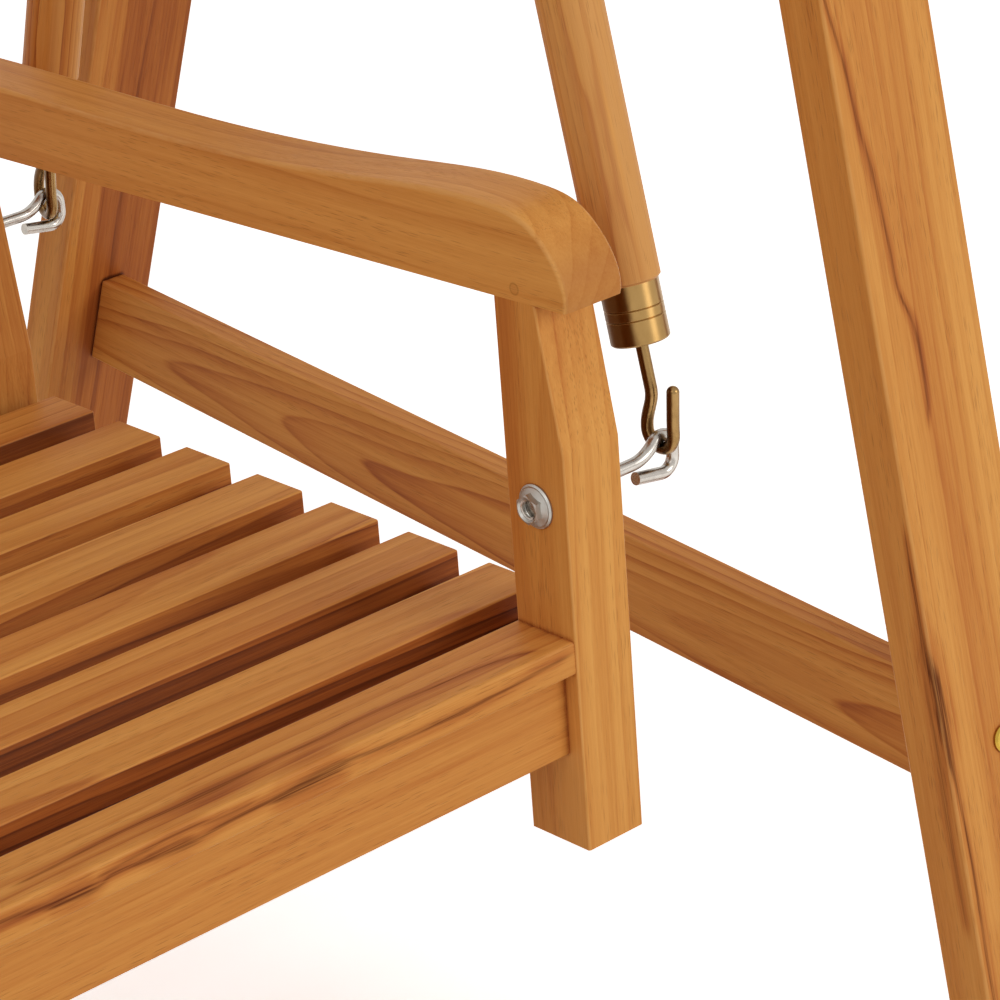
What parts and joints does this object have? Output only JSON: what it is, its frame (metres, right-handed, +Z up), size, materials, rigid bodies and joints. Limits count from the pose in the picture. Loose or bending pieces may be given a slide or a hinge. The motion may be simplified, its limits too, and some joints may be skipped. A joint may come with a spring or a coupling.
{
  "type": "jhoola swing",
  "caption": "Hardwood bench seat that hangs on hooked round rods from an A-frame stand and swings fore and aft.",
  "frame": {"origin": "on the floor, under the middle of the stand", "axes": "+Z up, -Y towards the front of the bench, +X along the bench to the right of someone facing it from the front"},
  "size_m": [2.1644, 0.947, 1.53],
  "materials": {
    "teak": "oiled, satin",
    "teak_stand": "oiled, satin",
    "brass": "aged, satin",
    "zinc": "bright zinc plated"
  },
  "bodies": {
    "stand": {"beam": "teak_stand", "leg_bolts_left": "brass", "leg_bolts_right": "brass", "leg_brace_left": "teak_stand", "leg_brace_right": "teak_stand", "leg_front_left": "teak_stand", "leg_front_right": "teak_stand", "leg_rear_left": "teak_stand", "leg_rear_right": "teak_stand", "leg_spreader_left": "teak_stand", "leg_spreader_right": "teak_stand", "top_hook_left": "zinc", "top_hook_nuts_left": "zinc", "top_hook_nuts_right": "zinc", "top_hook_right": "zinc"},
    "swing": {"armrest_left": "teak", "armrest_right": "teak", "back_crest": "teak", "back_rail": "teak", "back_slats_left": "teak", "back_slats_middle": "teak", "back_slats_right": "teak", "hanger_ferrules_front_left": "brass", "hanger_ferrules_front_right": "brass", "hanger_ferrules_rear_left": "brass", "hanger_ferrules_rear_right": "brass", "hanger_hooks_front_left": "brass", "hanger_hooks_front_right": "brass", "hanger_hooks_rear_left": "brass", "hanger_hooks_rear_right": "brass", "hanger_rod_front_left": "teak", "hanger_rod_front_right": "teak", "hanger_rod_rear_left": "teak", "hanger_rod_rear_right": "teak", "hook_bolt_front_left": "zinc", "hook_bolt_front_right": "zinc", "hook_bolt_rear_left": "zinc", "hook_bolt_rear_right": "zinc", "hook_nut_front_left": "zinc", "hook_nut_front_right": "zinc", "hook_nut_rear_left": "zinc", "hook_nut_rear_right": "zinc", "post_front_left": "teak", "post_front_right": "teak", "post_rear_left": "teak", "post_rear_right": "teak", "seat_bearer_1": "teak", "seat_bearer_2": "teak", "seat_nosing": "teak", "seat_rail_front": "teak", "seat_rail_rear": "teak", "seat_rail_side_left": "teak", "seat_rail_side_right": "teak", "seat_slat_2": "teak", "seat_slat_3": "teak", "seat_slat_4": "teak", "seat_slat_5": "teak", "seat_slat_6": "teak", "seat_slat_7": "teak", "seat_slat_8": "teak"}
  },
  "joints": [
    {"name": "bench_swing", "type": "hinge", "parent": "stand", "child": "swing", "pos_m": [0, 0, 1.4256], "axis": [1, 0, 0], "range_deg": [-25, 25]}
  ]
}
